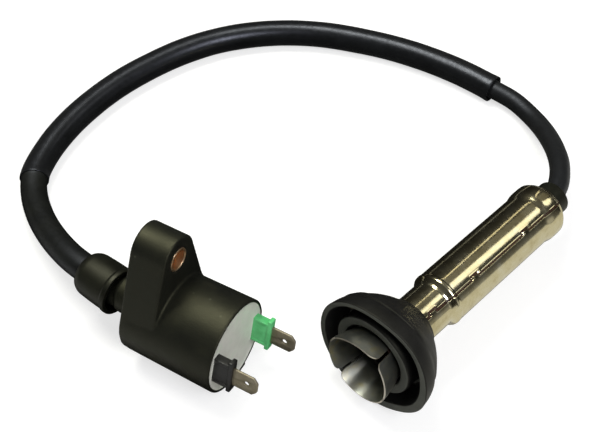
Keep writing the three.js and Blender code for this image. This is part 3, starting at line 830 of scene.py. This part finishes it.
shield = {
    "sheet": 0.5, "body": 9.0, "neck": 7.7, "rearFlare": 9.58, "rearEnd": -85.6, "opening": 6.4,
    "shoulder": -30.5, "neckStart": -28.6, "flareStart": -5.0, "petalEnd": 5.3,
    "corners": ((2.6, 1.0), (1.0, 1.6), (2.0, 2.4), (1.4, 1.8)), "slitAngles": (58, 151, 230, 332),
    "slits": (0.9, 0.3, 0.5, 0.5), "petalRadii": (11.4, 11.7, 11.9, 10.75),
    "petalBows": (0.9, 0.3, -0.4, 1.0), "petalRise": 0.5, "petalLip": 0.6, "petalSteps": 22,
    "seamAngle": 51.5, "seamWidth": 0.7, "seamDepth": 0.4, "seamRidge": 0.05, "tabShift": 1.0,
    "tabs": ((-23.6, -20.6), (-42.4, -39.2), (-67.8, -64.4)),
}
shieldProfile = [
    (shield["rearEnd"], shield["opening"]), (shield["rearEnd"], shield["opening"] + 0.5),
    (shield["rearEnd"] + 0.3, shield["opening"] + 0.9),
    (shield["rearEnd"] + 2.3, shield["rearFlare"] - 0.6),
    (shield["rearEnd"] + 2.6, shield["rearFlare"] - 0.58),
    (shield["rearEnd"] + 3.0, shield["rearFlare"] - 0.1),
    (shield["rearEnd"] + 4.5, shield["rearFlare"]), (shield["rearEnd"] + 7.0, shield["rearFlare"] - 0.05),
    (shield["rearEnd"] + 10.3, shield["body"] - 0.05), (shield["shoulder"] - 1.2, shield["body"]),
    (shield["shoulder"] - 0.4, shield["body"] + 0.16), (shield["shoulder"] + 0.3, shield["body"] + 0.05),
    (shield["shoulder"] + 1.0, shield["body"] - 0.55), (shield["shoulder"] + 1.6, shield["neck"] + 0.25),
    (shield["neckStart"] + 0.4, shield["neck"]), (shield["flareStart"], shield["neck"]),
]


def profileRadius(x):
    for (x0, r0), (x1, r1) in zip(shieldProfile[1:], shieldProfile[2:]):
        if x <= x1:
            t = max(0, (x - x0) / (x1 - x0))
            t = t * t * (3 - 2 * t) if abs(r1 - r0) > 0.2 else t
            return r0 + (r1 - r0) * t
    return shield["neck"]


def seamShift(x):
    # sideways place of the sheet's butt joint, in millimetres: straight, with interlocking tabs
    for start, end in shield["tabs"]:
        if start <= x <= end:
            return shield["tabShift"]
    return 0


def seamDistance(x, across):
    near = abs(across - seamShift(x))
    for start, end in shield["tabs"]:
        for edge in (start, end):
            aside = max(-across, across - shield["tabShift"], 0)
            near = min(near, math.hypot(x - edge, aside))
    return near


def fromJoint(x, angle):
    turn = (angle - math.radians(shield["seamAngle"]) + math.pi) % (2 * math.pi) - math.pi
    across = turn * profileRadius(x)
    return seamDistance(x, across) if abs(across) < 4 else abs(across)


def inJoint(x, angle):
    # the open gap, where the dark insulator shows
    return fromJoint(x, angle) < shield["seamWidth"] * 0.42


def seamGroove(x, angle):
    near = fromJoint(x, angle)
    if near > 3:
        return 0
    width = shield["seamWidth"] / 2
    groove = -shield["seamDepth"] * max(0, 1 - (near / width) ** 4) if near < width else 0
    ridge = shield["seamRidge"] * math.exp(-((near - width - 0.1) / 0.17) ** 2)
    return groove + ridge


def shieldColumns():
    # angles round the tube: fine at the seam, with a column on each side of every slit
    angles = set()
    for step in range(112):
        angles.add(round(360 * step / 112, 4))
    for step in range(-22, 34):
        angles.add(round(shield["seamAngle"] + step * 0.55, 4))
    slits = []
    for middle, width in zip(shield["slitAngles"], shield["slits"]):
        half = math.degrees(width / 2 / shield["neck"])
        slits.append((middle - half, middle + half))
    edges = [edge for slit in slits for edge in slit]
    kept = [angle for angle in angles if all(abs(angle - edge) > 0.25 for edge in edges)]
    return sorted(kept + edges), slits


def shieldRows():
    rows = [shield["rearEnd"]]
    x = shield["rearEnd"]
    edges = [edge for tab in shield["tabs"] for edge in tab]
    while x < shield["flareStart"] - 0.05:
        near = min(abs(x - edge) for edge in edges)
        fine = 0.14 if near < 0.8 else 0.75
        if x < shield["rearEnd"] + 4 or abs(x - shield["shoulder"] - 0.5) < 2.6:
            fine = min(fine, 0.3)
        x = min(x + fine, shield["flareStart"])
        rows.append(x)
    return rows


def petalPoint(along, angle, petal):
    # along runs from 0 at the root to 1 at the free edge; the corners beside the slits are rounded
    low, high = petal["low"], petal["high"]
    fromEdge = math.radians(min(angle - low, high - angle)) * 10
    corner = petal["corners"][0] if angle - low < high - angle else petal["corners"][1]
    cut = 0
    if fromEdge < corner:
        cut = corner - math.sqrt(max(corner ** 2 - (corner - fromEdge) ** 2, 0))
    end = shield["petalEnd"] - cut
    x = shield["flareStart"] + (end - shield["flareStart"]) * along
    share = (x - shield["flareStart"]) / (shield["petalEnd"] - shield["flareStart"])
    flare = share ** shield["petalRise"]
    middle = (low + high) / 2
    side = (angle - middle) / ((high - low) / 2)
    bow = petal["bow"] * (side * side - 0.35) * flare
    radius = shield["neck"] + (petal["radius"] - shield["neck"]) * flare + bow
    radius += shield["petalLip"] * max(0, share - 0.8) ** 2
    return x, radius


def makeShield():
    columns, slits = shieldColumns()
    rows = shieldRows()
    points, faces = [], []
    count = len(columns)
    for number, x in enumerate(rows):
        for angle in columns:
            turn = math.radians(angle)
            radius = shieldProfile[0][1] if number == 0 else profileRadius(x) + seamGroove(x, turn)
            if number == 1:
                radius = shieldProfile[1][1]
            start = shield["rearEnd"] if number < 2 else x
            points.append((start, radius * math.cos(turn), radius * math.sin(turn)))
    for number in range(len(rows) - 1):
        for side in range(count):
            following = (side + 1) % count
            a, b = number * count, (number + 1) * count
            faces.append((a + side, a + following, b + following, b + side))
    last = (len(rows) - 1) * count
    petals = []
    for index, (low, high) in enumerate(slits):
        nextLow = slits[(index + 1) % 4][0] + (360 if index == 3 else 0)
        petals.append({"low": high, "high": nextLow, "radius": shield["petalRadii"][index],
                       "bow": shield["petalBows"][index], "corners": shield["corners"][index]})
    steps = shield["petalSteps"]
    unrolled = columns + [angle + 360 for angle in columns]
    for petal in petals:
        inside = [column for column, angle in enumerate(unrolled)
                  if petal["low"] - 0.01 <= angle <= petal["high"] + 0.01]
        grid = {}
        for column in inside:
            angle = unrolled[column]
            grid[column, 0] = last + column % count
            for step in range(1, steps + 1):
                x, radius = petalPoint(step / steps, angle, petal)
                turn = math.radians(angle)
                grid[column, step] = len(points)
                points.append((x, radius * math.cos(turn), radius * math.sin(turn)))
        for first, second in zip(inside, inside[1:]):
            for step in range(steps):
                faces.append((grid[first, step], grid[second, step],
                              grid[second, step + 1], grid[first, step + 1]))
    tube = newPiece("capShield", points, faces, capPlace)
    finishes = [plating, cutSteel, phenolic, shadedInnerPlating]
    for finish in finishes:
        tube.data.materials.append(finish)
    toLocal = capPlace.inverted()
    for face in tube.data.polygons:
        x, y, z = toLocal @ (face.center / mm)
        if x < shield["flareStart"] and inJoint(x, math.atan2(z, y)):
            face.material_index = finishes.index(phenolic)
    # the sheet is thickened inwards, so its faces have to look outwards first
    middle = tube.data.polygons[len(tube.data.polygons) // 3]
    outward = middle.center - capPlace.translation * mm
    outward -= outward.dot(capAxis) * capAxis
    if middle.normal.dot(outward) < 0:
        tube.data.flip_normals()
    skin = tube.modifiers.new("sheet", "SOLIDIFY")
    skin.thickness = shield["sheet"] * mm
    skin.offset = -1
    # the inner faces take the plating copy with deeper painted shade
    skin.material_offset = finishes.index(shadedInnerPlating)
    skin.material_offset_rim = finishes.index(cutSteel)
    tube = baked(tube, 50)
    return standsFor(tube, plating, "plated_steel", "plug_cap", "cap_shield")


seal = {
    "outline": [
        (-18.5, 7.78, 0.3), (-18.5, 8.7, 0.5), (-17, 9.8, 1), (-15, 12.3, 1.5), (-12, 15.2, 2),
        (-8, 17.9, 2.5),
        (-4, 19.65, 2), (-0.2, 20.25, 0.12), (0.2, 20.0, 0.12), (0.3, 18.5, 0.15), (0.1, 18.25, 0.15),
        (-4, 17.2, 1.5),
        (-7, 15.5, 1.2), (-7.7, 14.6, 0.8), (-7, 13.9, 0.8), (-2.0, 14.3, 1), (-0.85, 13.9, 0.8),
        (-0.95, 11.3, 0.4),
        (-1.3, 10.9, 0.3), (-4.5, 9.8, 0.6), (-5.0, 7.9, 0.4), (-5.6, 7.78, 0.3),
    ],
    "flex": 0.28, "leanAngle": 46, "leanWidth": 36, "leanBack": 1.5, "leanOut": 0.8, "tuckAngle": -50,
    "tuck": 1.1,
    "offset": 0.75, "offsetAngle": 20,
}


def sealShape(x, radius, angle):
    # a soft lip is never quite round nor quite flat: it leans back on one side and tucks in where it rests,
    # and its inside is moulded a little off centre
    def bump(middle, width):
        away = (angle - math.radians(middle) + math.pi) % (2 * math.pi) - math.pi
        return math.exp(-(away / math.radians(width)) ** 2)

    def eased(value):
        held = min(1, max(0, value))
        return held * held * (3 - 2 * held)

    share = eased((radius - 14.5) / 3) * eased((x + 13) / 12)
    lean = bump(seal["leanAngle"], seal["leanWidth"]) * share
    out = seal["leanOut"] * lean - seal["tuck"] * bump(seal["tuckAngle"], 30) * share
    out += seal["flex"] * share * math.sin(3 * angle + 2.1)
    if x > -8 and 10.8 < radius < 18.8:
        out += seal["offset"] * math.sin(angle - math.radians(seal["offsetAngle"])) - 0.3
    return x - seal["leanBack"] * lean, radius + out


def makeSeal():
    bell = turned("bootSeal", seal["outline"], capPlace, closed=True, around=160, steps=4, shape=sealShape)
    bell.data.materials.append(sealRubber)
    bell.data.materials.append(frontLitLipRubber)
    # faces that look along the cap's axis take the lighter copy: painted light on the lip's front face
    for face in bell.data.polygons:
        if face.normal.dot(capAxis) > 0.75:
            face.material_index = 1
    return standsFor(bell, sealRubber, "black_rubber", "plug_cap", "boot_seal")


def makeInsulator():
    body = turned("capInsulator", [
        (-82, 3.95), (-82, 8.1, 0.8), (-31.1, 8.1, 0.3), (-30.7, 6.7, 0.3), (-9, 6.7, 0.6), (-9, 5.4, 0.3),
        (-44, 5.4, 0.3), (-44, 3.6), (-52, 3.6), (-52, 3.1), (-68, 3.1), (-68, 3.95),
    ], capPlace, closed=True, around=96)
    return standsFor(body, phenolic, "phenolic", "plug_cap", "cap_insulator")


def makeSocket():
    socket = turned("plugSocket", [
        (-50, 0.01), (-50, 2.9, 0.3), (-49.6, 3.3), (-43.7, 3.3), (-43.7, 5, 0.2), (-40, 5, 0.2),
        (-39.7, 4.1),
        (-38.3, 4.1), (-38, 5, 0.2), (-36.2, 5, 0.3), (-36, 4.6, 0.2), (-36, 3.3, 0.4), (-42.5, 3.3),
        (-43.5, 0.01),
    ], capPlace, closed=True, around=72)
    return standsFor(socket, brass, "brass", "plug_cap", "plug_socket")


def makeGrommet():
    ringPiece = turned("rearGrommet", [
        (-91, 4.2, 0.4), (-91, 5.8, 0.9), (-85.5, 5.8, 0.5), (-85.4, 6.1), (-82.3, 6.1, 0.3),
        (-82.3, 4.2, 0.2),
    ], capPlace, closed=True, around=96)
    return standsFor(ringPiece, glandRubber, "black_rubber", "grommet", "rear_grommet")


capPieces = [makeShield(), makeSeal(), makeInsulator(), makeSocket(), makeGrommet()]
print("plug cap")


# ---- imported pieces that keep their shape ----

keptFinishes = {
    "laminated_core": coreSteel, "primary_bobbin": bobbinNylon, "primary_winding": copper,
    "secondary_bobbin": bobbinNylon, "secondary_winding": copper, "outlet_pin": brass,
    "secondary_tail": copper,
    "black_side_tail": copper, "green_side_tail": copper, "socket_clip": springSteel,
    "contact_spring": springSteel,
    "resistor_front_cap": brass, "resistor_rod": ceramic, "resistor_rear_cap": brass, "lead_screw": brass,
}
for node, material in keptFinishes.items():
    kept = frame["nodes"][node]
    kept.data.materials.clear()
    kept.data.materials.append(material)
    for slotHolder in kept.material_slots:
        slotHolder.material = material


# ---- floor, light ----

def makeFloor():
    # white paper: pale to the eye, duller in reflections, so that bright metal keeps its contrast
    size = 3.0
    mesh = bpy.data.meshes.new("floor")
    corners = [(-size, -size, 0), (size, -size, 0), (size, size, 0), (-size, size, 0)]
    mesh.from_pydata(corners, [], [(0, 1, 2, 3)])
    floor = bpy.data.objects.new("floor", mesh)
    bpy.context.scene.collection.objects.link(floor)
    material, tree, shader, _ = startMaterial("whitePaperFloor", Roughness=0.95, Base_Color=grey(0.46),
                                              Specular_IOR_Level=0.1)
    seen = addNode(tree, "ShaderNodeLightPath").outputs["Is Camera Ray"]
    lift = addNode(tree, "ShaderNodeMath", {0: seen, 1: 0.66}, operation="MULTIPLY").outputs["Value"]
    shader.inputs["Emission Color"].default_value = grey(1)
    tree.links.new(lift, shader.inputs["Emission Strength"])
    mesh.materials.append(material)


def makeCard(name, start, end, width, brightness):
    # a card flat beside the plug cap that only shiny surfaces see: black on one side, white on the other
    start, end = Vector((*start, 0.001)), Vector((*end, 0.001))
    aside = Vector((end.y - start.y, start.x - end.x, 0)).normalized() * width
    mesh = bpy.data.meshes.new(name)
    mesh.from_pydata([start, end, end + aside, start + aside], [], [(0, 1, 2, 3)])
    card = bpy.data.objects.new(name, mesh)
    bpy.context.scene.collection.objects.link(card)
    material = startMaterial(name + "Paper", Roughness=1.0, Specular_IOR_Level=0.0, Base_Color=grey(0),
                             Emission_Color=colour("#fffdf4"), Emission_Strength=brightness)[0]
    mesh.materials.append(material)
    card.visible_camera = False
    card.visible_diffuse = False
    card.visible_shadow = False


def makeLight(name, place, target, size, power, tint):
    data = bpy.data.lights.new(name, "AREA")
    data.shape = "RECTANGLE"
    data.size, data.size_y = size
    data.energy = power
    data.color = colour(tint)[:3]
    light = bpy.data.objects.new(name, data)
    light.location = place
    light.rotation_euler = (Vector(target) - Vector(place)).to_track_quat("-Z", "Y").to_euler()
    bpy.context.scene.collection.objects.link(light)


def makeWorld():
    # a dim room: pale behind the object, dark low down in reflections, soft fill from all round
    world = bpy.data.worlds.new("studio")
    bpy.context.scene.world = world
    world.use_nodes = True
    tree = world.node_tree
    direction = addNode(tree, "ShaderNodeTexCoord").outputs["Generated"]
    height = addNode(tree, "ShaderNodeSeparateXYZ", {"Vector": direction}).outputs["Z"]
    room = ramp(tree, height, [(0.0, grey(0.012)), (0.45, grey(0.025)), (0.7, grey(0.06)), (1.0, grey(0.12))])
    side = addNode(tree, "ShaderNodeSeparateXYZ", {"Vector": direction}).outputs["X"]
    window = ramp(tree, side, [(0.84, grey(0)), (0.93, grey(0.1)), (0.985, grey(0.42))])
    room = addNode(tree, "ShaderNodeMix", {"Factor": 1.0, "A": room, "B": window}, data_type="RGBA",
                   blend_type="ADD").outputs["Result"]
    rays = addNode(tree, "ShaderNodeLightPath").outputs
    fill = addNode(tree, "ShaderNodeMix", {
        "Factor": rays["Is Diffuse Ray"], "A": room, "B": grey(0.3)}, data_type="RGBA").outputs["Result"]
    seen = addNode(tree, "ShaderNodeMix", {
        "Factor": rays["Is Camera Ray"], "A": fill, "B": grey(0.92)}, data_type="RGBA").outputs["Result"]
    tree.links.new(seen, tree.nodes["Background"].inputs["Color"])


makeFloor()
makeWorld()
makeCard("blackCard", (0.038, -0.035), (0.12, 0.29), -2.4, 0.012)
makeCard("whiteCard", (0.058, -0.035), (0.14, 0.29), 0.5, 0.62)
makeLight("coilBox", (-0.22, 0.12, 0.62), (0, 0, 0), (0.4, 0.2), 3.4, "#fcfcf0")
makeLight("frontFill", (0.42, -0.13, 0.52), (0.03, 0, 0.02), (0.26, 0.26), 2.2, "#fbfbff")
makeLight("capBox", (0.4, 0.46, 0.62), (0.06, 0.05, 0), (0.22, 0.26), 0.28, "#fffdf4")
makeLight("softBand", (0.14, 0.56, 0.62), (0.06, 0.05, 0), (0.28, 0.26), 0.024, "#fff6dd")
makeLight("edgeStrip", (-0.1, 0.62, 0.62), (0.06, 0.05, 0), (0.03, 0.3), 0.05, "#fff6dd")
bpy.context.scene.view_settings.view_transform = "Standard"
print("stage")
